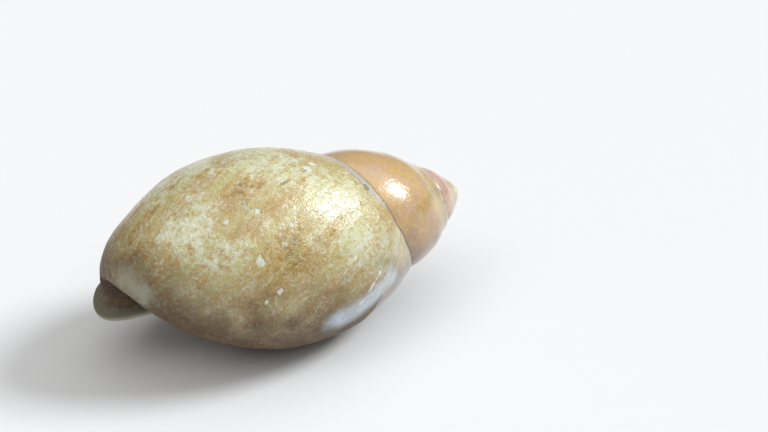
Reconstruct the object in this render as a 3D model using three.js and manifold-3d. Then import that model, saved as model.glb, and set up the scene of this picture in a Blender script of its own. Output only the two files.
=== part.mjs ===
// Empty shell of a giant land snail, lying on its mouth. Millimetres, +Z up.
//
// The shell is one thick-walled tube that winds round the coiling axis and widens as it grows.
// Every section of the tube is the same outline, stretched between the height of the suture and
// the height of the base, so the shape follows from three growth laws. k counts whorls along the
// growth: 0 is close to the mouth and -1 is one whorl before it.
//
// The tube is made in lengths of less than half a whorl. Joined, they give the outer shape, and
// the hollow of each length is cut out of it, less the earlier whorls, which it winds round.
//
// Shell frame: the coiling axis is Z, with the apex at 0 and the base of the mouth near LENGTH.
// Azimuth grows with the shell, which makes it right-handed (dextral).

import * as THREE from "three";
import Module from "manifold-3d";
import { mergeVertices } from "three/addons/utils/BufferGeometryUtils.js";

const wasm = await Module();
wasm.setup();

// ---- Driving dimensions ----

const LENGTH = 135; // along the coiling axis, apex to the base of the mouth

// Growth in each whorl, and how far the newest whorl falls behind that steady growth
const RADIUS_GROWTH = { perWhorl: 2, lag: 0.58, lagWhorls: 0.775 };
const SUTURE_GROWTH = { perWhorl: 2.21, lag: -0.15, lagWhorls: 0.43 };
const BASE_GROWTH = { perWhorl: 2.21, lag: 0.433, lagWhorls: 0.43 };
const SUTURE_HEIGHT = 0.333; // share of LENGTH from the apex at k = 0
const APEX_BLUNTNESS = 0.0076; // share of LENGTH

// Outline of one whorl, outer side first: [radius as a share of LENGTH, height from the suture (0)
// to the base (1), share of LIP_REACH by which the lip stands out there]
const OUTLINE = [
  [0.127, 0.0, 0.1],
  [0.184, 0.083, 0.3],
  [0.234, 0.194, 0.45],
  [0.278, 0.393, 0.48],
  [0.267, 0.648, 0.53],
  [0.176, 0.89, 0.85],
  [0.093, 0.985, 1.0],
  [0.056, 0.95, 1.0],
  [0.029, 0.8, 0.7],
  [0.018, 0.56, 0.3],
  [0.022, 0.34, 0.05],
  [0.04, 0.12, 0.0],
];
const OUTLINE_MIDDLE = 0.12; // radius half-way between its inner and outer sides

const MOUTH = 0.056; // k where the base of the mouth ends
const MOUTH_SLANT = 0.225; // whorls by which the growth lines run on from base to suture

const WALL = 1.35; // at the mouth; earlier whorls are thinner
const WALL_THINNING = 0.7; // power of the whorl's radius that the wall follows
const LIP_REACH = 6.9; // how far the lip stands out from the wall, at most
const LIP_DEPTH = 3.1; // how far it grows on past the wall
const LIP_EDGE = 1.35; // radius of its rounded edge

const COLUMELLA_RADIUS = 3; // fills the gap that the whorls leave round the axis
const COLUMELLA_HEIGHTS = [0.06, 0.3, 0.8, 0.84]; // starts, full, full, ends: shares of LENGTH

// How the shell lies on its lip and its last whorl: turned about +X, then +Y, then +Z, in degrees
const ROLL = 26.8;
const PITCH = -3;
const YAW = -3.1;
const CONTACT_DEPTH = 0.5; // flats worn where it touches the ground

// ---- Fineness of the mesh ----

const ROWS_PER_WHORL = 22;
const ROWS_PER_LENGTH = 9; // lengths of the tube, counted back from the mouth
const LENGTHS = 12;
const HOLLOW_LENGTHS = 6; // the whorls before them are solid
const BIRTH_ROWS = 4; // rows over which the tube closes up to a round end at the apex
const POINTS_PER_SPAN = [2, 2, 2, 3, 3, 2, 2, 2, 1, 1, 1, 2]; // round the outline
const COLUMELLA_SIDES = 16;
const LIP_ROWS = { flare: 4, edge: 4, front: 5 };

// ---- Shape of a whorl ----

const outlineCurve = new THREE.CatmullRomCurve3(
  OUTLINE.map(([radius, height, lip]) => new THREE.Vector3(radius, height, lip)),
  true,
  "catmullrom",
  0.5,
);

// Parameters of the outline's points, from 0 to 1
const roundOutline = POINTS_PER_SPAN.flatMap((points, span) =>
  Array.from({ length: points }, (_, i) => (span + i / points) / OUTLINE.length),
);

function grown(k, { perWhorl, lag, lagWhorls }) {
  return Math.exp(Math.log(perWhorl) * k + lag * (1 - Math.exp(k / lagWhorls)));
}

function bluntHeight(height) {
  return Math.hypot(height, APEX_BLUNTNESS) - APEX_BLUNTNESS;
}

// k of the rows, which are numbered back from the mouth
const whorlOf = (row) => MOUTH - row / ROWS_PER_WHORL;

const FIRST_WHORL = whorlOf(LENGTHS * ROWS_PER_LENGTH);

// The first rows close up to a round end, where the shell was born
function birthShrink(k) {
  const along = Math.min(1, ((k - FIRST_WHORL) * ROWS_PER_WHORL) / BIRTH_ROWS + 0.02);
  return Math.sqrt(along * (2 - along));
}

// A point on the outside of the shell. Growth lines slant, so the suture side is ahead of k.
function outside(k, u) {
  const outline = outlineCurve.getPoint(u);
  const shrink = birthShrink(k);
  const height = 0.5 + (outline.y - 0.5) * shrink;
  const grownTo = k + MOUTH_SLANT * (1 - outline.y);
  const top = bluntHeight(SUTURE_HEIGHT * grown(grownTo, SUTURE_GROWTH));
  const base = bluntHeight(grown(grownTo, BASE_GROWTH));
  const share = OUTLINE_MIDDLE + (outline.x - OUTLINE_MIDDLE) * shrink;
  const radius = LENGTH * share * grown(grownTo, RADIUS_GROWTH);
  const azimuth = 2 * Math.PI * grownTo;
  return new THREE.Vector3(
    radius * Math.cos(azimuth),
    radius * Math.sin(azimuth),
    LENGTH * (top + (base - top) * height),
  );
}

// Unit vector out of the wall
function outward(k, u) {
  const step = 0.002;
  const along = outside(k + step, u).sub(outside(k - step, u));
  const round = outside(k, u + step).sub(outside(k, u - step));
  return along.cross(round).normalize();
}

function wallThickness(k) {
  return WALL * Math.pow(grown(k, RADIUS_GROWTH), WALL_THINNING);
}

const outerRing = (k) => roundOutline.map((u) => outside(k, u));

const innerRing = (k) =>
  roundOutline.map((u) => outside(k, u).addScaledVector(outward(k, u), -wallThickness(k)));

// ---- Lip ----

// One ring of the lip. place(reach) gives how far out of the wall and how far on the ring lies.
function lipRing(place) {
  return roundOutline.map((u) => {
    const outline = outlineCurve.getPoint(u);
    const azimuth = 2 * Math.PI * (MOUTH + MOUTH_SLANT * (1 - outline.y));
    const onward = new THREE.Vector3(-Math.sin(azimuth), Math.cos(azimuth), 0);
    const [out, on] = place(LIP_REACH * Math.max(0, outline.z));
    return outside(MOUTH, u).addScaledVector(outward(MOUTH, u), out).addScaledVector(onward, on);
  });
}

// The wall flares, turns over a round edge and comes back inside to the tube's inner ring
function lipRings() {
  const wall = wallThickness(MOUTH);
  const depth = LIP_DEPTH + 2 * LIP_EDGE;
  const rings = [];
  for (let i = 1; i <= LIP_ROWS.flare; i++) {
    const a = ((Math.PI / 2) * i) / LIP_ROWS.flare;
    rings.push(lipRing((reach) => [reach * (1 - Math.cos(a)), LIP_DEPTH * Math.sin(a)]));
  }
  for (let i = 1; i <= LIP_ROWS.edge; i++) {
    const a = (Math.PI * i) / LIP_ROWS.edge;
    const on = LIP_DEPTH + LIP_EDGE * (1 - Math.cos(a));
    rings.push(lipRing((reach) => [reach + LIP_EDGE * Math.sin(a), on]));
  }
  for (let i = 1; i < LIP_ROWS.front; i++) {
    const a = ((Math.PI / 2) * i) / LIP_ROWS.front;
    rings.push(lipRing((reach) => [reach - (reach + wall) * Math.sin(a), depth * Math.cos(a)]));
  }
  rings.push(innerRing(MOUTH));
  return rings;
}

// ---- Solids ----

function centreOf(ring) {
  const sum = new THREE.Vector3();
  ring.forEach((point) => sum.add(point));
  return sum.divideScalar(ring.length);
}

// A closed surface through rings of the same length, with a fan over each end
function loft(rings) {
  const count = rings[0].length;
  const points = [...rings.flat(), centreOf(rings[0]), centreOf(rings.at(-1))];
  const firstCentre = points.length - 2;
  const lastCentre = points.length - 1;
  const lastRing = (rings.length - 1) * count;
  const index = [];
  for (let j = 0; j < count; j++) {
    const next = (j + 1) % count;
    index.push(firstCentre, j, next);
    index.push(lastCentre, lastRing + next, lastRing + j);
    for (let row = 0; row < lastRing; row += count) {
      index.push(row + j, row + count + j, row + next);
      index.push(row + next, row + count + j, row + count + next);
    }
  }
  return new THREE.BufferGeometry().setFromPoints(points).setIndex(index);
}

function solidOf(geometry) {
  return new wasm.Manifold(
    new wasm.Mesh({
      numProp: 3,
      vertProperties: geometry.attributes.position.array,
      triVerts: new Uint32Array(geometry.index.array),
    }),
  );
}

const union = (solids) => solids.reduce((all, solid) => all.add(solid));

// Rings from an older row to a newer one
function ringsBetween(oldest, newest, ringAt) {
  return Array.from({ length: oldest - newest + 1 }, (_, i) => ringAt(whorlOf(oldest - i)));
}

// The lengths of tube, filled, from the newest to the oldest
function filledLengths() {
  return Array.from({ length: LENGTHS }, (_, i) => {
    const rings = ringsBetween((i + 1) * ROWS_PER_LENGTH, i * ROWS_PER_LENGTH, outerRing);
    return solidOf(loft(i === 0 ? [...rings, ...lipRings()] : rings));
  });
}

// The hollow inside one length, which reaches a row back into the length before it
function hollowOf(i, filled) {
  const rings = ringsBetween((i + 1) * ROWS_PER_LENGTH + 1, i * ROWS_PER_LENGTH, innerRing);
  return solidOf(loft(rings)).subtract(union(filled.slice(i + 2)));
}

// The column that the whorls wind round
function columella() {
  const [start, full, end, tip] = COLUMELLA_HEIGHTS.map((share) => share * LENGTH);
  const profile = [
    new THREE.Vector2(0, start),
    new THREE.Vector2(COLUMELLA_RADIUS, full),
    new THREE.Vector2(COLUMELLA_RADIUS, end),
    new THREE.Vector2(0, tip),
  ];
  const geometry = new THREE.LatheGeometry(profile, COLUMELLA_SIDES).rotateX(Math.PI / 2);
  geometry.deleteAttribute("normal");
  geometry.deleteAttribute("uv");
  return solidOf(mergeVertices(geometry));
}

function shellSolid() {
  const filled = filledLengths();
  const hollows = Array.from({ length: HOLLOW_LENGTHS }, (_, i) => hollowOf(i, filled));
  return union([...filled, columella()]).subtract(union(hollows));
}

// The cuts leave crumbs and closed pockets under 2 mm3 round the axis, which this leaves out
function largestBody(solid) {
  return solid.decompose().reduce((best, body) => (body.volume() > best.volume() ? body : best));
}

function geometryOf(solid) {
  const mesh = solid.getMesh();
  return new THREE.BufferGeometry()
    .setAttribute("position", new THREE.BufferAttribute(mesh.vertProperties, 3))
    .setIndex(new THREE.BufferAttribute(mesh.triVerts, 1));
}

// From the shell frame to lying on the ground, its box centred over the origin
function layDown(geometry) {
  const [roll, pitch, yaw] = [ROLL, PITCH, YAW].map(THREE.MathUtils.degToRad);
  const apexAlongX = new THREE.Matrix4().set(0, 0, -1, 0, 1, 0, 0, 0, 0, -1, 0, 0, 0, 0, 0, 1);
  geometry.applyMatrix4(apexAlongX).rotateX(roll).rotateY(pitch).rotateZ(yaw);
  geometry.computeBoundingBox();
  const { min, max } = geometry.boundingBox;
  return geometry.translate(-(min.x + max.x) / 2, -(min.y + max.y) / 2, -min.z - CONTACT_DEPTH);
}

// Everything below the ground, as worn away where the shell touches it
function ground() {
  const depth = LENGTH / 10;
  const geometry = new THREE.BoxGeometry(2 * LENGTH, 2 * LENGTH, depth).translate(0, 0, -depth / 2);
  geometry.deleteAttribute("normal");
  geometry.deleteAttribute("uv");
  return solidOf(mergeVertices(geometry));
}

const lying = solidOf(layDown(geometryOf(shellSolid())));
const geometry = geometryOf(largestBody(lying.subtract(ground()))).toNonIndexed();
geometry.computeVertexNormals();

const shell = new THREE.Mesh(
  geometry,
  new THREE.MeshStandardMaterial({ color: 0xd6bd82, roughness: 0.35, metalness: 0 }),
);
shell.name = "shell";

const group = new THREE.Group();
group.add(shell);

export default group;
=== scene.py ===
"""Looks of the land snail shell: a fine mesh of it, its material, the light and the camera.

The shell is grown again by the same laws as the CAD solid, with the fine relief of the real one.
It is worked out in millimetres, in a shell frame whose Z is the coiling axis, with the apex at 0,
and then laid down in the row frame. k counts whorls along the growth: 0 is close to the mouth and
-1 is one whorl before it. A point's height runs from 0 at the suture to 1 at the base.
"""

import itertools
import math

import bmesh
import bpy
import numpy as np
from mathutils import Matrix, Quaternion, Vector, kdtree


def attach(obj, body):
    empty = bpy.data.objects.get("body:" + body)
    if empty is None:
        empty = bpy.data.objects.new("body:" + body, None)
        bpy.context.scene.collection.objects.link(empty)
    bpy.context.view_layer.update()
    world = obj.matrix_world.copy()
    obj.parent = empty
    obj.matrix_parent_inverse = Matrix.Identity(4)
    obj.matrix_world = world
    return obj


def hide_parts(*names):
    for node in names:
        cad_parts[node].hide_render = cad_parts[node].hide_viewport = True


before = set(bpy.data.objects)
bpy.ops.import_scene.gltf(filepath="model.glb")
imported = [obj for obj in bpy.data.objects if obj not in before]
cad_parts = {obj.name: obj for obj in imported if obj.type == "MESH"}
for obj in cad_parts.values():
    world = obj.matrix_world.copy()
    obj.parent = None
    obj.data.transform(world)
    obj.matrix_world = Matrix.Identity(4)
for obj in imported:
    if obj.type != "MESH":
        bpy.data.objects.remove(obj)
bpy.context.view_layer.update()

# ---- Shape, as in the CAD solid ----

LENGTH = 135.0
RADIUS_GROWTH = (2.0, 0.58, 0.775)  # per whorl, lag of the newest whorl, whorls of that lag
SUTURE_GROWTH = (2.21, -0.15, 0.43)
BASE_GROWTH = (2.21, 0.433, 0.43)
SUTURE_HEIGHT = 0.333  # share of LENGTH from the apex at k = 0
OUTLINE = np.array([  # radius as a share of LENGTH, height, share of LIP_REACH
    (0.127, 0.0, 0.1),
    (0.184, 0.083, 0.3),
    (0.234, 0.194, 0.45),
    (0.278, 0.393, 0.48),
    (0.267, 0.648, 0.53),
    (0.176, 0.89, 0.85),
    (0.093, 0.985, 1.0),
    (0.056, 0.95, 1.0),
    (0.029, 0.8, 0.7),
    (0.018, 0.56, 0.3),
    (0.022, 0.34, 0.05),
    (0.04, 0.12, 0.0),
])
OUTLINE_MIDDLE = 0.12  # radius half-way between its inner and outer sides
MOUTH = 0.056  # k where the base of the mouth ends
MOUTH_SLANT = 0.225  # whorls by which the growth lines run on from base to suture
WALL = 1.35  # at the mouth; earlier whorls are thinner
WALL_THINNING = 0.7  # power of the whorl's radius that the wall follows
LIP_REACH = 6.9  # how far the lip stands out from the wall, at most
LIP_DEPTH = 3.1  # how far it grows on past the wall
LIP_EDGE = 1.35  # radius of its rounded edge
COLUMELLA_RADIUS = 3.0
COLUMELLA_HEIGHTS = (0.06, 0.3, 0.8, 0.84)  # starts, full, full, ends: shares of LENGTH
LAID_DOWN = (26.8, -3.0, -3.1)  # turned about +X, then +Y, then +Z, in degrees
CONTACT_DEPTH = 0.5  # flats worn where it touches the ground
LENGTHS = 12  # lengths of tube, counted back from the mouth
LENGTH_WHORLS = 9 / 22  # whorls in one length
HOLLOW_LENGTHS = 6
BIRTH_WHORLS = 4 / 22

# ---- Fineness and build of the mesh ----

ROWS = 150  # in the newest length; each earlier one has fewer
ROWS_KEPT = 0.84  # share of its rows that the next earlier length has
OUTER_POINTS = (10, 12, 14, 24, 30, 28, 16, 8, 8, 5, 5, 5)  # in each span of the outline
INNER_POINTS = (4, 4, 5, 8, 8, 8, 6, 4, 4, 3, 3, 4)
INNER_ROWS = 26
LIP_ROWS = {"flare": 9, "edge": 10, "front": 12}
MOUTH_OPENING = ((0.02, 2.0), (0.12, 8.0))  # share narrower, and mm past the mouth
LIP_COUNT = 0.31  # added to k from the start of the lip to its end on the inside
HOLLOW_OVERLAP = LENGTH_WHORLS / 9  # whorls that a length of the hollow shares with the one before it
COLUMELLA_POINTS = 32
COLUMELLA_TIP = 0.1  # radius of its two ends

# ---- What the CAD solid has otherwise or leaves out. Heights, depths and widths are in mm ----

APEX_BLUNTNESS = 0.015  # share of LENGTH, about twice that of the CAD solid
GLAZE_EDGE = (-0.55, -0.46)  # k of the glaze's edge at height 0, and how much less it is at height 1
GLAZE_EDGE_WHORLS = 0.008
GLAZE_THICKNESS = 0.12
LAST_WHORL = (-0.97, -0.93)  # k over which it starts
LIP_SWELL = 2.8  # how much the whorl widens just before the lip
LIP_SWELL_WHORLS = 0.06
SUTURE_WAVES = (9, 0.0035)  # in a whorl, and their size as a share of the suture's height
SUTURE_RIPPLES = (38, 0.0028)
SWELLING_HEIGHT = 0.3
SWELLING_WIDTH = 30
HAMMERED_HEIGHT = 0.085
HAMMERED_WIDTH = 2.6
REST_LINE_DEPTH = 0.1
REST_LINES = 31  # in a whorl
RIB_HEIGHT = 0.045
RIBS = 170  # in a whorl
GLAZE_SHARE = 0.4  # of the rest lines and ribs, that the glaze still has
GROOVE_DEPTH = 0.25
GROOVE_WIDTH = 0.5
BEAD_HEIGHT = 0.16
BEAD_WIDTH = 0.6
BEAD_PLACE = 1.3  # its distance from the suture
UPPER_EDGE = 0.3  # height below which the bead is made
OUTER_TURN = 0.3  # how far the surface may be turned inwards and still have groove and bead
SMOOTH_ANGLE = 50  # sharper edges stay sharp, in degrees

MM = 0.001


# ---- Noise ----

def cell_values(cells, seed):
    """A fixed number from -1 to 1 for each whole-numbered cell."""
    mixed = cells @ np.array([127.1, 311.7, 74.7][:cells.shape[-1]]) + 53.3 * seed
    return 2 * np.modf(np.abs(np.sin(mixed)) * 43758.5453)[0] - 1


def noise(points, seed):
    """Smooth noise from -1 to 1, with about one bump per unit."""
    whole = np.floor(points)
    share = points - whole
    fade = share * share * (3 - 2 * share)
    total = 0.0
    for corner in itertools.product((0, 1), repeat=points.shape[-1]):
        weight = np.prod(np.where(corner, fade, 1 - fade), axis=-1)
        total = total + weight * cell_values(whole + corner, seed)
    return total


def fractal(points, seed, octaves):
    """Noise with finer and weaker noise on top of it."""
    return sum(noise(points * 2.1**i, seed + i) * 0.5**i for i in range(octaves))


# ---- Shape of a whorl ----

def outline_at(u):
    """The outline's columns at u, from 0 to 1: a closed Catmull-Rom curve through its points."""
    count = len(OUTLINE)
    spot = np.asarray(u) * count
    index = np.floor(spot).astype(int)
    t = (spot - index)[..., None]
    before, start, end, after = (OUTLINE[(index + i) % count] for i in (-1, 0, 1, 2))
    leave = (end - start + start - before) / 2
    arrive = (after - start) / 2
    square = 3 * (end - start) - 2 * leave - arrive
    cube = leave + arrive - 2 * (end - start)
    return start + leave * t + square * t**2 + cube * t**3


def u_values(points_per_span):
    """u of a ring's points, with that many in each span of the outline."""
    count = len(points_per_span)
    return np.concatenate([(i + np.arange(n) / n) / count for i, n in enumerate(points_per_span)])


def grown(k, law):
    per_whorl, lag, lag_whorls = law
    return np.exp(math.log(per_whorl) * k + lag * (1 - np.exp(k / lag_whorls)))


def blunt(height):
    return np.hypot(height, APEX_BLUNTNESS) - APEX_BLUNTNESS


def size_at(k):
    """Size of the shell's details at k, as a share of their size at the mouth."""
    return np.minimum(1.0, grown(k, RADIUS_GROWTH))


FIRST_WHORL = MOUTH - LENGTHS * LENGTH_WHORLS


def smooth_outside(k, u):
    """Points on the outside, without relief. k and u are arrays that match."""
    radius_share, height, _ = np.moveaxis(outline_at(u), -1, 0)
    along = np.minimum(1, (k - FIRST_WHORL) / BIRTH_WHORLS + 0.02)
    shrink = np.sqrt(np.maximum(0, along * (2 - along)))
    grown_to = k + MOUTH_SLANT * (1 - height)
    top = blunt(SUTURE_HEIGHT * grown(grown_to, SUTURE_GROWTH) * suture_wander(grown_to))
    base = blunt(grown(grown_to, BASE_GROWTH))
    share = OUTLINE_MIDDLE + (radius_share - OUTLINE_MIDDLE) * shrink
    radius = LENGTH * share * grown(grown_to, RADIUS_GROWTH)
    azimuth = 2 * math.pi * grown_to
    z = LENGTH * (top + (base - top) * (0.5 + (height - 0.5) * shrink))
    return np.stack([radius * np.cos(azimuth), radius * np.sin(azimuth), z], axis=-1)


def suture_wander(grown_to):
    """The suture's small irregularities, as a factor on its height."""
    around = grown_to[..., None]
    waves, wave_share = SUTURE_WAVES
    ripples, ripple_share = SUTURE_RIPPLES
    return 1 + wave_share * noise(around * waves, 3) + ripple_share * fractal(around * ripples, 5, 2)


def outward(k, u):
    """Unit vectors out of the wall."""
    step = 0.002
    along = smooth_outside(k + step, u) - smooth_outside(k - step, u)
    round_it = smooth_outside(k, u + step) - smooth_outside(k, u - step)
    normal = np.cross(along, round_it)
    return normal / np.linalg.norm(normal, axis=-1, keepdims=True)


def wall_thickness(k):
    return WALL * grown(k, RADIUS_GROWTH) ** WALL_THINNING


# ---- Relief ----

def rough_share(k, height):
    """1 on the rough last whorl, 0 on its glazed part beside the mouth and on the whorls before it."""
    edge = GLAZE_EDGE[0] + GLAZE_EDGE[1] * height
    return np.clip((k - edge) / GLAZE_EDGE_WHORLS, 0, 1)


def lip_swell(k, u):
    """How far the whorl widens towards the lip, in mm."""
    lip = np.clip(outline_at(u)[..., 2], 0, 1)
    return LIP_SWELL * lip**2 * np.exp(-(((MOUTH - k) / LIP_SWELL_WHORLS) ** 2))


def relief(k, u, points):
    """How far the real surface stands out of the smooth one, in mm."""
    size = size_at(k)
    height = outline_at(u)[..., 1]
    rough = rough_share(k, height)
    swell = SWELLING_HEIGHT * fractal(points / SWELLING_WIDTH, 11, 2) * size + lip_swell(k, u)
    hammered = HAMMERED_HEIGHT * fractal(points / HAMMERED_WIDTH, 17, 2) * rough
    rest_lines = REST_LINE_DEPTH * np.abs(noise(np.stack([k * REST_LINES, height], axis=-1), 23)) ** 0.5
    ribs = RIB_HEIGHT * noise(np.stack([k * RIBS, height * 4], axis=-1), 29)
    lines = (rest_lines - ribs) * size * (GLAZE_SHARE + (1 - GLAZE_SHARE) * rough)
    return swell + hammered - lines - GLAZE_THICKNESS * rough


def outside(k, u):
    points = smooth_outside(k, u)
    return points + outward(k, u) * relief(k, u, points)[..., None]


def inside(k, u):
    return smooth_outside(k, u) - outward(k, u) * wall_thickness(k)[..., None]


# ---- Meshes ----

def grid(ks, u):
    """k and u of every point of the rings at ks."""
    return np.meshgrid(ks, u, indexing="ij")


def onward(u):
    """Unit vectors along the growth, at the mouth."""
    azimuth = 2 * math.pi * (MOUTH + MOUTH_SLANT * (1 - outline_at(u)[:, 1]))
    return np.stack([-np.sin(azimuth), np.cos(azimuth), 0 * azimuth], axis=-1)


def lip_rings(u):
    """Rings of the lip, and how far each is turned from the outside (0) to the inside (1)."""
    k = np.full_like(u, MOUTH)
    lip = outline_at(u)[:, 2]
    out = outward(k, u)
    start = outside(k, u)
    swell = lip_swell(k, u)
    reach = LIP_REACH * np.maximum(0, lip) - swell
    wall = wall_thickness(k) + swell
    depth = LIP_DEPTH + 2 * LIP_EDGE
    rings = []
    for i in range(1, LIP_ROWS["flare"] + 1):
        a = math.pi / 2 * i / LIP_ROWS["flare"]
        rings.append((reach * (1 - math.cos(a)), LIP_DEPTH * math.sin(a), 0.0))
    for i in range(1, LIP_ROWS["edge"] + 1):
        a = math.pi * i / LIP_ROWS["edge"]
        on = LIP_DEPTH + LIP_EDGE * (1 - math.cos(a))
        rings.append((reach + LIP_EDGE * math.sin(a), on, i / LIP_ROWS["edge"]))
    for i in range(1, LIP_ROWS["front"]):
        a = math.pi / 2 * i / LIP_ROWS["front"]
        rings.append((reach - (reach + wall) * math.sin(a), depth * math.cos(a), 1.0))
    points = [start + out * np.reshape(o, (-1, 1)) + onward(u) * on for o, on, _ in rings]
    return points + [inside(k, u)], [turned for _, _, turned in rings] + [1.0]


def corner_vertices(mesh):
    """The vertex of each corner of the faces."""
    corner = np.empty(len(mesh.loops), np.int32)
    mesh.loops.foreach_get("vertex_index", corner)
    return corner


def loft(name, rings, ks, heights, turned):
    """A closed mesh through rings of the same length, with a fan over each end.

    Its corners carry the whorl, the height and how far they are on the inside.
    """
    rings = np.asarray(rings)
    rows, count, _ = rings.shape
    points = np.concatenate([rings.reshape(-1, 3), rings[:1].mean(1), rings[-1:].mean(1)])
    j = np.arange(count)
    row = np.arange(rows - 1)[:, None] * count
    a, b = row + j, row + (j + 1) % count
    quads = np.stack([a, a + count, b + count, b], axis=-1).reshape(-1, 4)
    end = (rows - 1) * count
    fans = np.concatenate([
        np.stack([0 * j + len(points) - 2, j, (j + 1) % count], axis=-1),
        np.stack([0 * j + len(points) - 1, end + (j + 1) % count, end + j], axis=-1),
    ])
    mesh = bpy.data.meshes.new(name)
    mesh.from_pydata(points.tolist(), [], quads.tolist() + fans.tolist())
    corner = corner_vertices(mesh)
    values = {
        "whorl": np.repeat(ks, count),
        "height": np.tile(heights, rows),
        "turned": np.repeat(turned, count),
    }
    for key, value in values.items():
        value = np.concatenate([value, value[:1], value[-1:]])
        layer = mesh.attributes.new(key, "FLOAT", "CORNER")
        layer.data.foreach_set("value", value[corner].astype(np.float32))
    return linked(name, mesh)


def linked(name, mesh):
    piece = bpy.data.objects.new(name, mesh)
    bpy.context.scene.collection.objects.link(piece)
    return piece


def boolean(piece, other, operation):
    """Joins other to piece or cuts it out, and removes other."""
    modifier = piece.modifiers.new("boolean", "BOOLEAN")
    modifier.operation = operation
    modifier.solver = "MANIFOLD"
    modifier.object = other
    shape = piece.evaluated_get(bpy.context.evaluated_depsgraph_get())
    mesh = bpy.data.meshes.new_from_object(shape)
    piece.modifiers.clear()
    piece.data = mesh
    bpy.data.objects.remove(other)
    return piece


def join_all(pieces):
    first, *others = pieces
    for other in others:
        boolean(first, other, "UNION")
    return first


def whorls_of(length, rows):
    """k of the rows of one length, oldest first."""
    newest = MOUTH - length * LENGTH_WHORLS
    return np.linspace(newest - LENGTH_WHORLS, newest, rows + 1)


def filled_length(length, rows, points_per_span, surface, side=0.0):
    """One length of the tube, filled. The newest one carries the lip.

    side is 0 where its surface ends up on the outside, and 1 where it lines the hollow.
    """
    u = u_values(points_per_span)
    ks = whorls_of(length, rows)
    rings = list(surface(*grid(ks, u)))
    turned = [side] * len(ks)
    if length == 0:
        lip, lip_turned = lip_rings(u)
        rings += lip
        turned += lip_turned
        ks = np.concatenate([ks, MOUTH + LIP_COUNT * np.arange(1, len(lip) + 1) / len(lip)])
    return loft("filled", rings, ks, outline_at(u)[:, 1], turned)


def callus_over(k, u):
    """The outside of an earlier whorl as it lines the hollow, under a thin glaze."""
    return smooth_outside(k, u) + outward(k, u) * GLAZE_THICKNESS


def mouth_rings(u):
    """Rings that carry the hollow on past the mouth and clear of the lip, so that it opens it."""
    edge = inside(np.full_like(u, MOUTH), u)
    middle = edge.mean(0)
    return [edge + (middle - edge) * narrower + onward(u) * on for narrower, on in MOUTH_OPENING]


def hollow_length(length):
    """The hollow of one length, wound round the whorls before it."""
    u = u_values(INNER_POINTS)
    ks = whorls_of(length, INNER_ROWS)
    ks = np.concatenate([[ks[0] - HOLLOW_OVERLAP], ks])
    rings = list(inside(*grid(ks, u)))
    if length == 0:
        rings += mouth_rings(u)
        ks = np.concatenate([ks, np.full(len(MOUTH_OPENING), MOUTH)])
    hollow = loft("hollow", rings, ks, outline_at(u)[:, 1], np.ones(len(ks)))
    for earlier in range(length + 2, LENGTHS):
        other = filled_length(earlier, INNER_ROWS, INNER_POINTS, callus_over, side=1.0)
        boolean(hollow, other, "DIFFERENCE")
    return hollow


def columella():
    """The column that the whorls wind round."""
    start, full, end, tip = (share * LENGTH for share in COLUMELLA_HEIGHTS)
    angle = 2 * math.pi * np.arange(COLUMELLA_POINTS) / COLUMELLA_POINTS
    circle = np.stack([np.cos(angle), np.sin(angle), 0 * angle], axis=-1)
    radii = (COLUMELLA_TIP, COLUMELLA_RADIUS, COLUMELLA_RADIUS, COLUMELLA_TIP)
    rings = [circle * radius + (0, 0, z) for radius, z in zip(radii, (start, full, end, tip))]
    heights = np.full(COLUMELLA_POINTS, 0.6)
    return loft("column", rings[::-1], np.full(len(rings), -1.0), heights, np.ones(len(rings)))


def joined_parts(work):
    """Lists of the vertices that hang together."""
    parts = []
    seen = set()
    for start in work.verts:
        if start in seen:
            continue
        seen.add(start)
        part = [start]
        for vertex in part:
            others = [edge.other_vert(vertex) for edge in vertex.link_edges]
            new = [other for other in others if other not in seen]
            seen.update(new)
            part += new
        parts.append(part)
    return parts


def clean_up(mesh):
    """Deletes the scraps that the cuts leave inside the wall."""
    work = bmesh.new()
    work.from_mesh(mesh)
    parts = sorted(joined_parts(work), key=len)
    scraps = list(itertools.chain(*parts[:-1]))
    bmesh.ops.delete(work, geom=scraps, context="VERTS")
    work.to_mesh(mesh)
    work.free()


def shell_piece():
    rows = [round(ROWS * ROWS_KEPT**i) for i in range(LENGTHS)]
    filled = [filled_length(i, n, OUTER_POINTS, outside) for i, n in enumerate(rows)]
    shell = join_all(filled + [columella()])
    for i in range(HOLLOW_LENGTHS):
        boolean(shell, hollow_length(i), "DIFFERENCE")
    clean_up(shell.data)
    shell.name = "land_snail_shell"
    return shell


# ---- Laying it down and finishing the mesh ----

def corner_values(mesh, key):
    values = np.empty(len(mesh.loops), np.float32)
    mesh.attributes[key].data.foreach_get("value", values)
    return values


def vertex_points(mesh):
    points = np.empty(3 * len(mesh.vertices), np.float32)
    mesh.vertices.foreach_get("co", points)
    return points.reshape(-1, 3).astype(float)


def set_vertex_points(mesh, points):
    mesh.vertices.foreach_set("co", points.astype(np.float32).ravel())
    mesh.update()


def turned_down(points):
    """From the shell frame to lying on the mouth, before it is moved onto the ground."""
    x, y, z = np.moveaxis(np.asarray(points, float), -1, 0)
    turn = Matrix()
    for angle, axis in zip(LAID_DOWN, "XYZ"):
        turn = Matrix.Rotation(math.radians(angle), 4, axis) @ turn
    return np.stack([-z, x, -y], axis=-1) @ np.array(turn.to_3x3()).T


def lay_down(mesh):
    """Turns the mesh down, in metres, with its box centred over the origin. Returns the shift."""
    points = turned_down(vertex_points(mesh)) * MM
    low, high = points.min(0), points.max(0)
    shift = np.array([*(-(low + high) / 2)[:2], -low[2] - CONTACT_DEPTH * MM])
    points += shift
    points[:, 2] = np.maximum(points[:, 2], 0)
    set_vertex_points(mesh, points)
    return shift


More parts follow.
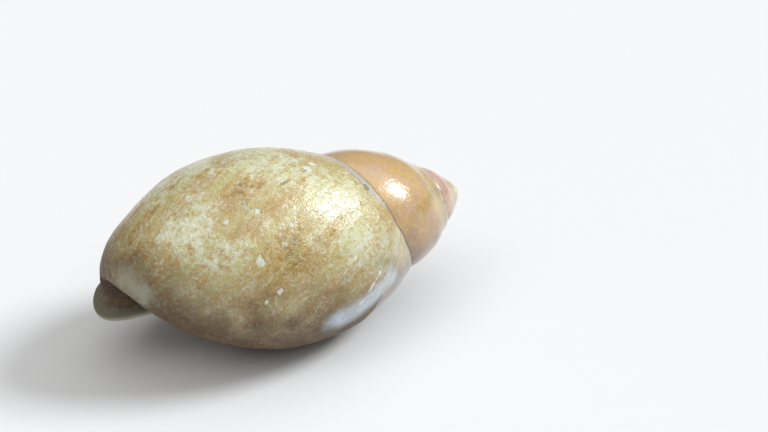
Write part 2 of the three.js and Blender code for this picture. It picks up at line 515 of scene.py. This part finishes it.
def mark_suture(mesh):
    """Gives each vertex its distance from the nearest suture, in mm, as an attribute."""
    corner = corner_vertices(mesh)
    whorl = corner_values(mesh, "whorl")
    newest = np.full(len(mesh.vertices), -np.inf)
    oldest = np.full(len(mesh.vertices), np.inf)
    np.maximum.at(newest, corner, whorl)
    np.minimum.at(oldest, corner, whorl)
    points = vertex_points(mesh)
    line = np.flatnonzero(newest - oldest > 0.5)
    tree = kdtree.KDTree(len(line))
    for i in line:
        tree.insert(points[i], i)
    tree.balance()
    away = [tree.find(point)[2] for point in points]
    layer = mesh.attributes.new("suture", "FLOAT", "POINT")
    layer.data.foreach_set("value", np.array(away, np.float32))


def vertex_average(mesh, key):
    corner = corner_vertices(mesh)
    total = np.bincount(corner, corner_values(mesh, key), len(mesh.vertices))
    return total / np.bincount(corner, minlength=len(mesh.vertices))


def press_suture(mesh):
    """Sinks the sutures on the outside into a groove and raises a bead on the last whorl's edge."""
    normals = np.empty(3 * len(mesh.vertices), np.float32)
    mesh.vertices.foreach_get("normal", normals)
    away = np.empty(len(mesh.vertices), np.float32)
    mesh.attributes["suture"].data.foreach_get("value", away)
    whorl = vertex_average(mesh, "whorl")
    beaded = (vertex_average(mesh, "height") < UPPER_EDGE) & (whorl > LAST_WHORL[0])
    groove = -GROOVE_DEPTH * np.exp(-((away / GROOVE_WIDTH) ** 2))
    bead = BEAD_HEIGHT * np.exp(-(((away - BEAD_PLACE) / BEAD_WIDTH) ** 2)) * beaded
    rise = (groove + bead) * size_at(whorl) * (vertex_average(mesh, "turned") < OUTER_TURN)
    set_vertex_points(mesh, vertex_points(mesh) + normals.reshape(-1, 3) * rise[:, None])


# ---- Node trees ----

def srgb(code):
    """The linear colour of a hex code, with alpha 1."""
    parts = [int(code[i:i + 2], 16) / 255 for i in (0, 2, 4)]
    return (*(p / 12.92 if p < 0.04045 else ((p + 0.055) / 1.055) ** 2.4 for p in parts), 1.0)


class Nodes:
    """Adds nodes to a material's tree and returns their output sockets."""

    def __init__(self, name):
        self.material = bpy.data.materials.new(name)
        self.material.use_nodes = True
        self.tree = self.material.node_tree
        self.shader = self.tree.nodes["Principled BSDF"]

    def feed(self, socket, value):
        if isinstance(value, bpy.types.NodeSocket):
            self.tree.links.new(value, socket)
        else:
            socket.default_value = value

    def add(self, kind, inputs, **settings):
        node = self.tree.nodes.new("ShaderNode" + kind)
        for key, value in settings.items():
            setattr(node, key, value)
        for key, value in inputs.items():
            self.feed(node.inputs[key], value)
        return node

    def attribute(self, name):
        return self.add("Attribute", {}, attribute_name=name).outputs["Fac"]

    def math(self, operation, *values):
        return self.add("Math", dict(enumerate(values)), operation=operation).outputs[0]

    def folded(self, operation, values):
        total = values[0]
        for value in values[1:]:
            total = self.math(operation, total, value)
        return total

    def times(self, *values):
        return self.folded("MULTIPLY", values)

    def plus(self, *values):
        return self.folded("ADD", values)

    def least(self, *values):
        return self.folded("MINIMUM", values)

    def less(self, a, b):
        return self.math("SUBTRACT", a, b)

    def rise(self, value, low, high):
        """0 below low and 1 above high, or the other way round if low is the greater."""
        ends = {"Value": value, "From Min": low, "From Max": high}
        return self.add("MapRange", ends, interpolation_type="SMOOTHSTEP").outputs[0]

    def mix(self, share, a, b):
        inputs = {0: share, 6: a, 7: b}
        return self.add("Mix", inputs, data_type="RGBA", clamp_factor=True).outputs[2]

    def vector(self, x, y, z):
        return self.add("CombineXYZ", {0: x, 1: y, 2: z}).outputs[0]

    def noise(self, where, scale, detail=3.0, roughness=0.55, distortion=0.0):
        inputs = {"Vector": where, "Scale": scale, "Detail": detail, "Roughness": roughness,
                  "Distortion": distortion}
        return self.add("TexNoise", inputs).outputs["Fac"]

    def vector_math(self, operation, *values):
        node = self.add("VectorMath", dict(enumerate(values)), operation=operation)
        single = operation in ("DOT_PRODUCT", "LENGTH", "DISTANCE")
        return node.outputs["Value" if single else "Vector"]

    def scaled(self, vector, scale):
        return self.add("VectorMath", {0: vector, "Scale": scale}, operation="SCALE").outputs[0]

    def ramp(self, value, stops):
        """A colour between stops of value and colour."""
        node = self.add("ValToRGB", {0: value})
        elements = node.color_ramp.elements
        for place, _ in stops[2:]:
            elements.new(place)
        for element, (place, colour) in zip(elements, stops):
            element.position = place
            element.color = colour
        return node.outputs[0]


# ---- Material ----

CREAM = srgb("D4CEA4")
GREEN_CREAM = srgb("C5C483")
SAND = srgb("BFA86F")
OCHRE = srgb("B4914A")
BROWN = srgb("7C6234")
CHALK = srgb("DADCCB")
BLEACHED = srgb("DFE4CC")
LAVENDER = srgb("B9B6B8")
GREY_GREEN = srgb("ADAB95")
DARK = srgb("4A3B2C")
TAN = srgb("CDA76A")
ROSY_TAN = srgb("C5A384")
MARGIN = srgb("C8C08E")
PINK = srgb("D8AF9A")
TIP = srgb("DDD0A8")
MAUVE = srgb("A8968C")
# Painted reflection: the bluish-white sheen on the glaze by the lower edge
SHEEN_COLOUR = srgb("D8E4F0")
# Painted shade with some dirt: the brown-grey that darkens the low side and the base
SHADE_AND_STAIN = srgb("7A6444")
OLIVE = srgb("6F6A56")
UMBER = srgb("5C4930")
RIM = srgb("A09B88")
PORCELAIN = srgb("E0D8C8")

# Places on the last whorl: k, height and radius in mm
CHIPS = (
    (-0.38, 0.297, 1.7), (-0.373, 0.264, 1.2), (-0.375, 0.544, 0.9), (-0.425, 0.623, 1.6),
    (-0.425, 0.466, 0.7), (-0.418, 0.438, 0.6), (-0.481, 0.648, 0.8),
    (-0.344, 0.6, 0.5), (-0.349, 0.65, 0.7), (-0.481, 0.6, 0.7), (-0.537, 0.305, 0.5),
)
# Partly pale wear and partly painted light: some of these sit where highlights fall and paint them in
PALE_AND_HIGHLIGHT_AREAS = (
    (-0.31, 0.42, 14), (-0.44, 0.26, 11), (-0.31, 0.75, 9), (-0.59, 0.21, 7), (-0.39, 0.68, 7),
    (-0.2, 0.74, 8), (-0.53, 0.28, 9), (-0.24, 0.6, 8),
)
RUSTY_AREAS = (
    (-0.345, 0.55, 11), (-0.45, 0.5, 8), (-0.4, 0.2, 5), (-0.225, 0.9, 6), (-0.55, 0.5, 9),
    (-0.5, 0.66, 8),
)
GREY_AREAS = ((-0.26, 0.975, 4.0), (-0.3, 0.97, 4.5), (-0.345, 0.96, 4.0))
PITS = ((-0.466, 0.135, 1.3),)
CRACK = ((-0.381, 0.31), (-0.373, 0.43))  # k and height of its two ends
SCRATCH = ((-0.6, 0.235), (-0.613, 0.34))
# Line along which the painted sheen (a painted reflection) lies: k and height of its ends
SHEEN_LINE = ((-0.64, 0.21), (-0.61, 0.43))

WHORL_LENGTH = 220  # mm along the last whorl, roughly; it makes k a length in the patterns
SPIRE = (-1.85, -2.0)  # k over which its pink starts
SPIRE_TIP = (-2.35, -3.0)


def u_of_height(height):
    u = np.linspace(0, 0.5, 200)
    return np.interp(height, outline_at(u)[:, 1], u)


def row_point(k, height, shift):
    """The point of the outside at k and height, in mm in the row frame."""
    point = turned_down(smooth_outside(np.array([k]), np.array([u_of_height(height)])))[0]
    return Vector(point + shift / MM)


class ShellNodes(Nodes):
    """The nodes of the shell's material, with its places and zones at hand. Lengths are in mm."""

    def __init__(self, shift):
        super().__init__("shell")
        self.shift = shift
        self.place = self.scaled(self.add("TexCoord", {}).outputs["Object"], 1 / MM)
        self.up = self.add("SeparateXYZ", {0: self.place}).outputs[2]
        self.whorl = self.attribute("whorl")
        self.height = self.attribute("height")
        self.turned = self.attribute("turned")
        self.suture = self.attribute("suture")
        along = self.times(self.whorl, WHORL_LENGTH)
        self.growth = self.vector(along, self.times(self.height, 9), 0)  # stretched along growth lines
        self.wander = self.less(self.noise(self.place, 0.35, 3), 0.5)
        self.drift = self.less(self.noise(self.place, 1 / 8, 4), 0.5)
        glaze = self.plus(self.whorl, -GLAZE_EDGE[0], self.times(self.height, -GLAZE_EDGE[1]))
        self.past_glaze = self.plus(self.times(glaze, WHORL_LENGTH), self.times(self.wander, 3))
        self.last_whorl = self.rise(self.whorl, *LAST_WHORL)
        self.rough = self.rise(self.past_glaze, -0.3, 0.3)
        self.outside = self.rise(self.turned, 0.5, 0.0)
        self.grain = self.noise(self.place, 1 / 1.3, 3, 0.65, 0.6)
        self.veins = self.ridges(1 / 2.4)
        self.lines = self.noise(self.growth, 0.9, 3, 0.6)
        base = self.times(self.rise(self.height, 0.74, 0.97), -21)
        level = self.plus(self.up, self.times(self.drift, 30), self.times(self.grain, 12), base)
        self.shade_and_dirt = self.rise(level, 60.0, 18.0)  # painted shade and dirt: darker low down, on the side that the shell lies on, and on its base
        self.lip = self.lip_share()
        self.chips = self.spots(CHIPS)
        self.scratch = self.times(self.drawn(SCRATCH, 2.4, 0.5, 0.2), self.rough)
        self.crack = self.drawn(CRACK, 2, 0.45, 0.15)
        # Painted reflection: a bluish sheen along a line on the glaze near the lower edge
        painted_sheen = self.plus(self.off_line(SHEEN_LINE), self.times(self.drift, 9))
        self.painted_sheen = self.rise(painted_sheen, 8.0, 0.5)

    def ridges(self, scale):
        """1 along fine winding lines."""
        level = self.noise(self.place, scale, 2, 0.5, 0.5)
        return self.rise(self.math("ABSOLUTE", self.less(level, 0.5)), 0.035, 0.0)

    def nearest(self, spots):
        """How far it is to the edge of the nearest spot, less than 0 inside it."""
        edges = []
        for k, height, radius in spots:
            middle = row_point(k, height, self.shift)
            edges.append(self.less(self.vector_math("DISTANCE", self.place, middle), radius))
        return self.least(*edges)

    def spots(self, spots):
        """1 in the spots, with ragged edges."""
        return self.rise(self.plus(self.nearest(spots), self.times(self.wander, 6)), 0.15, -0.15)

    def areas(self, spots):
        """1 in the middle of the spots, fading out past their edges."""
        return self.rise(self.plus(self.nearest(spots), self.times(self.drift, 26)), 4.0, -6.0)

    def off_line(self, ends):
        """How far it is to the straight line between two places."""
        start, end = (row_point(k, height, self.shift) for k, height in ends)
        along = end - start
        away = self.vector_math("SUBTRACT", self.place, start)
        share = self.vector_math("DOT_PRODUCT", away, along / along.length_squared)
        share = self.least(self.math("MAXIMUM", share, 0.0), 1.0)
        return self.vector_math("LENGTH", self.vector_math("SUBTRACT", away, self.scaled(along, share)))

    def drawn(self, ends, raggedness, outer, inner):
        """1 within inner mm of the line between two places, and 0 past outer mm."""
        away = self.plus(self.off_line(ends), self.times(self.wander, raggedness))
        return self.rise(away, outer, inner)

    def lip_share(self):
        """1 on the flared back of the lip and just before it."""
        near = self.plus(self.whorl, self.times(self.wander, 0.1))
        return self.times(self.rise(near, MOUTH - 0.16, MOUTH - 0.05), self.rise(self.height, 0.7, 0.86))

    def multiplied(self, share, colour, other):
        inputs = {0: share, 6: colour, 7: other}
        return self.add("Mix", inputs, data_type="RGBA", blend_type="MULTIPLY").outputs[2]


def rough_colour(n):
    """Cream mottled with ochre and finely grained, streaked along the growth lines, worn to chalk."""
    patches = n.noise(n.place, 1 / 15, 5, 0.6, 0.4)
    blotches = n.noise(n.place, 1 / 4, 4, 0.65)
    streaks = n.noise(n.growth, 0.45, 4, 0.6)
    # The pale areas add pale wear and painted highlights
    tone = n.plus(n.times(patches, 0.5), n.times(blotches, 0.45), n.times(n.grain, 0.8),
                  n.times(streaks, 0.25), n.times(n.areas(RUSTY_AREAS), 0.14),
                  n.times(n.areas(PALE_AND_HIGHLIGHT_AREAS), -0.19), -0.44)
    colour = n.ramp(tone, ((0.26, BLEACHED), (0.4, CREAM), (0.52, SAND), (0.66, OCHRE), (0.85, BROWN)))
    green = n.times(n.rise(n.noise(n.growth, 0.16, 4, 0.6), 0.45, 0.65), 0.5)
    colour = n.mix(green, colour, GREEN_CREAM)
    colour = n.mix(n.times(n.rise(n.past_glaze, 9.0, 1.0), 0.6), colour, BLEACHED)
    stains = n.times(n.rise(n.noise(n.place, 1 / 3, 6, 0.7), 0.55, 0.68), n.rise(n.grain, 0.45, 0.65))
    colour = n.mix(n.times(stains, 0.25), colour, BROWN)
    # Painted shade and dirt: darker and browner low down and on the base
    colour = n.multiplied(n.shade_and_dirt, colour, SHADE_AND_STAIN)
    specks = n.rise(n.noise(n.place, 1 / 0.9, 3, 0.65, 0.8), 0.56, 0.66)
    colour = n.mix(n.times(specks, n.plus(0.12, n.times(n.shade_and_dirt, 0.5))), colour, DARK)
    worn = n.less(1.0, n.times(n.shade_and_dirt, 0.75))
    colour = n.mix(n.times(n.veins, worn, 0.33), colour, CHALK)
    flecks = n.times(n.rise(n.noise(n.place, 1 / 8, 6, 0.72, 0.8), 0.5, 0.62),
                     n.rise(n.noise(n.place, 1 / 0.8, 3, 0.6), 0.45, 0.6))
    colour = n.mix(n.times(flecks, worn, 0.6), colour, CHALK)
    return n.mix(n.times(n.areas(GREY_AREAS), 0.7), colour, GREY_GREEN)


def smooth_colour(n):
    """Tan with rosy clouds and a pale margin, pink on the spire, cream and mauve by the mouth."""
    colour = n.mix(n.rise(n.noise(n.place, 1 / 7, 5, 0.6), 0.4, 0.65), TAN, ROSY_TAN)
    colour = n.mix(n.times(n.rise(n.noise(n.place, 1 / 2.5, 5, 0.65), 0.48, 0.62), 0.3), colour, OCHRE)
    margin = n.rise(n.plus(n.height, n.times(n.drift, 0.16), n.times(n.wander, 0.08)), 0.18, 0.1)
    colour = n.mix(n.times(margin, 0.35), colour, MARGIN)
    colour = n.mix(n.times(n.rise(n.lines, 0.45, 0.7), 0.3), colour, SAND)
    colour = n.mix(n.times(n.rise(n.grain, 0.5, 0.7), 0.22), colour, CREAM)
    specks = n.rise(n.noise(n.place, 1 / 0.9, 2, 0.5), 0.66, 0.72)
    colour = n.mix(n.times(specks, 0.6), colour, CHALK)
    spire = n.rise(n.plus(n.whorl, n.times(n.wander, 0.3)), *SPIRE)
    low = n.rise(n.plus(n.height, n.times(n.wander, 0.1)), 0.2, 0.36)
    colour = n.mix(spire, colour, n.mix(n.times(low, 0.7), PINK, LAVENDER))
    colour = n.mix(n.rise(n.plus(n.whorl, n.times(n.wander, 0.5)), *SPIRE_TIP), colour, TIP)
    colour = n.mix(n.times(n.last_whorl, 0.45), colour, CREAM)
    clouds = n.rise(n.noise(n.place, 1 / 6, 5, 0.6), 0.3, 0.7)
    mauve = n.times(n.last_whorl, n.rise(n.up, 34.0, 22.0), n.plus(0.35, n.times(clouds, 0.5)))
    colour = n.mix(mauve, colour, MAUVE)
    # Painted shade and dirt: darker and browner low down and on the base
    return n.multiplied(n.shade_and_dirt, colour, SHADE_AND_STAIN)


def suture_colour(n, colour):
    """A pale chalky band along the last whorl's upper edge, with a dark line where it meets the rest,
    and painted shade in the crease of every suture.
    """
    upper = n.times(n.outside, n.rise(n.whorl, -0.96, -0.93))
    near_edge = n.rise(n.height, 0.3, 0.2)
    wide = n.times(n.rise(n.whorl, -0.52, -0.45), n.rise(n.whorl, -0.25, -0.37))
    ragged = n.plus(n.suture, n.times(n.wander, n.plus(1.5, n.times(wide, 4.0))), n.times(n.drift, 2.5))
    width = n.plus(0.9, n.times(wide, 2.3))
    off_border = n.less(ragged, width)
    band = n.times(n.rise(off_border, 0.2, -0.3), near_edge, upper)
    chalky = n.mix(n.rise(n.up, 50.0, 42.0), LAVENDER, GREY_GREEN)
    colour = n.mix(n.times(band, 0.8), colour, chalky)
    border = n.times(n.rise(n.math("ABSOLUTE", off_border), 0.4, 0.1), near_edge, upper)
    colour = n.mix(n.times(border, wide, 0.4), colour, BROWN)
    # Painted shade: a dark line in the crease of every suture on the outside
    crease_shade = n.times(n.rise(n.plus(n.suture, n.times(n.wander, 0.5)), 0.4, 0.1), n.outside)
    return n.mix(n.times(crease_shade, 0.5), colour, DARK)


def marks_colour(n, colour):
    """A painted bluish sheen (a painted reflection) on the glaze, the glaze's edge, and the chips,
    scratch and crack.
    """
    # Painted reflection: the bluish sheen, streaked along the growth lines
    sheen_streaks = n.plus(0.4, n.times(n.rise(n.noise(n.growth, 2.2, 4, 0.7), 0.35, 0.65), 0.5))
    colour = n.mix(n.times(n.painted_sheen, sheen_streaks), colour, SHEEN_COLOUR)
    edge = n.times(n.rise(n.math("ABSOLUTE", n.past_glaze), 0.35, 0.1), n.last_whorl)
    colour = n.mix(n.times(edge, 0.45, n.outside), colour, SHADE_AND_STAIN)
    colour = n.mix(n.times(n.plus(n.chips, n.scratch), 0.9), colour, CHALK)
    return n.mix(n.times(n.crack, 0.5), colour, DARK)


def lip_colour(n, colour):
    """Painted shadow in the chink where the lip starts, then umber and olive on its back, a pale rim and
    a porcelain inside.
    """
    clouds = n.times(n.less(n.noise(n.place, 1 / 4, 5, 0.65), 0.5), 0.16)
    flare = n.plus(n.whorl, clouds, -MOUTH)
    # Painted shadow: dark in the chink where the lip meets the body, turning to umber and olive on the
    # lip's back
    shade_and_dirt = n.ramp(n.times(flare, 10), ((0.0, DARK), (0.35, UMBER), (0.75, OLIVE)))
    shade_and_dirt = n.mix(n.times(n.rise(n.lines, 0.5, 0.7), 0.3), shade_and_dirt, RIM)
    colour = n.mix(n.lip, colour, shade_and_dirt)
    colour = n.mix(n.rise(n.turned, 0.25, 0.55), colour, RIM)
    return n.mix(n.rise(n.turned, 0.8, 1.0), colour, PORCELAIN)


def shell_colour(n):
    colour = n.mix(n.rough, smooth_colour(n), rough_colour(n))
    colour = suture_colour(n, colour)
    colour = n.mix(n.times(n.spots(PITS), 0.7), colour, BROWN)
    colour = marks_colour(n, colour)
    return lip_colour(n, colour)


def shell_roughness(n):
    """Duller on the lip and where the shell is rough, chipped or dirty low down, less dull under the
    painted sheen.
    """
    dull = n.times(n.rough, n.plus(-0.04, n.times(n.grain, 0.3)))
    return n.plus(0.26, dull, n.times(n.chips, 0.3), n.times(n.lip, 0.25), n.times(n.painted_sheen, -0.08),
                  n.times(n.shade_and_dirt, n.rough, 0.25))


def gloss(n):
    """The clear coat on the outside, worn off the lip and the chips and weak on rough parts, the more so
    low down.
    """
    worn = n.times(n.less(1.0, n.lip), n.less(1.0, n.chips))
    weak = n.times(n.less(1.0, n.times(n.rough, 0.3)), n.less(1.0, n.times(n.shade_and_dirt, n.rough, 0.8)))
    return n.times(n.outside, worn, weak)


def fine_bump(n):
    """The grain that is too fine for the mesh, with the depth of the chips and the crack."""
    hammered = n.plus(n.times(n.grain, 0.2), n.times(n.veins, 0.06), n.times(n.lines, 0.05))
    smooth = n.plus(n.times(n.lines, 0.02), n.times(n.noise(n.place, 1 / 1.1, 3), 0.1))
    marks = n.plus(n.times(n.chips, -0.12), n.times(n.crack, -0.2))
    level = n.plus(n.times(n.rough, hammered), smooth, marks)
    return n.add("Bump", {"Height": level, "Strength": 1.0, "Distance": MM}).outputs[0]


def shell_material(shift):
    n = ShellNodes(shift)
    bump = fine_bump(n)
    n.feed(n.shader.inputs["Base Color"], shell_colour(n))
    n.feed(n.shader.inputs["Roughness"], shell_roughness(n))
    n.feed(n.shader.inputs["Coat Weight"], gloss(n))
    n.feed(n.shader.inputs["Coat Roughness"], 0.17)
    n.feed(n.shader.inputs["Coat IOR"], 1.65)
    n.feed(n.shader.inputs["Normal"], bump)
    n.feed(n.shader.inputs["Coat Normal"], bump)
    return n.material


# ---- Floor, light and camera ----

FLOOR_HALF = 60.0  # m, so far that its edge is close to the horizon
AIM = Vector((0.03013, -0.01431, 0.04125))  # point on the camera's axis
CAMERA_DIRECTION = (-31.47, 29.28)  # azimuth and elevation
CAMERA_DISTANCE = 0.38138  # from AIM
CAMERA_ROLL = -0.956  # degrees
LENS = 51.14
WORLD_STRENGTH = 0.2


def direction(azimuth, elevation):
    """Towards the eye or a light. Azimuth 0 is in front, along -Y, and 90 is along +X."""
    a, e = math.radians(azimuth), math.radians(elevation)
    return Vector((math.sin(a) * math.cos(e), -math.cos(a) * math.cos(e), math.sin(e)))


def floor():
    mesh = bpy.data.meshes.new("floor")
    corners = [(x * FLOOR_HALF, y * FLOOR_HALF, 0) for x, y in ((-1, -1), (1, -1), (1, 1), (-1, 1))]
    mesh.from_pydata(corners, [], [(0, 1, 2, 3)])
    n = Nodes("floor")
    n.feed(n.shader.inputs["Base Color"], srgb("E6E6E6"))
    n.feed(n.shader.inputs["Roughness"], 0.9)
    n.feed(n.shader.inputs["Specular IOR Level"], 0.1)
    mesh.materials.append(n.material)
    linked("floor", mesh)


def sky_light(name, azimuth, elevation, width, strength, colour=(1, 1, 1)):
    """A distant round light that is width degrees across."""
    light = bpy.data.lights.new(name, "SUN")
    light.angle = math.radians(width)
    light.energy = strength
    light.color = colour
    lamp = linked(name, light)
    lamp.location = direction(azimuth, elevation)
    lamp.rotation_euler = direction(azimuth, elevation).to_track_quat("Z", "Y").to_euler()


def light_up():
    sky_light("key", azimuth=66, elevation=42, width=20, strength=2.3, colour=(0.92, 0.96, 1.0))
    sky_light("fill", azimuth=-88, elevation=50, width=24, strength=0.22)
    sky_light("overhead", azimuth=20, elevation=75, width=90, strength=1.5)
    world = bpy.data.worlds.new("studio")
    world.use_nodes = True
    background = world.node_tree.nodes["Background"]
    background.inputs["Color"].default_value = (1, 1, 1, 1)
    background.inputs["Strength"].default_value = WORLD_STRENGTH
    bpy.context.scene.world = world
    bpy.context.scene.view_settings.view_transform = "Standard"


def camera():
    data = bpy.data.cameras.new("camera")
    data.lens = LENS
    data.clip_start = 0.01
    eye = linked("camera", data)
    back = direction(*CAMERA_DIRECTION)
    eye.location = AIM + back * CAMERA_DISTANCE
    roll = Quaternion((0, 0, 1), math.radians(CAMERA_ROLL))
    eye.rotation_euler = (back.to_track_quat("Z", "Y") @ roll).to_euler()
    bpy.context.scene.camera = eye


# ---- The scene ----

shell = shell_piece()
mark_suture(shell.data)
press_suture(shell.data)
shift = lay_down(shell.data)
shell.data.shade_smooth()
shell.data.set_sharp_from_angle(angle=math.radians(SMOOTH_ANGLE))
shell.data.materials.clear()
shell.data.materials.append(shell_material(shift))
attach(shell, "root")
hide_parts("shell")

floor()
light_up()
camera()
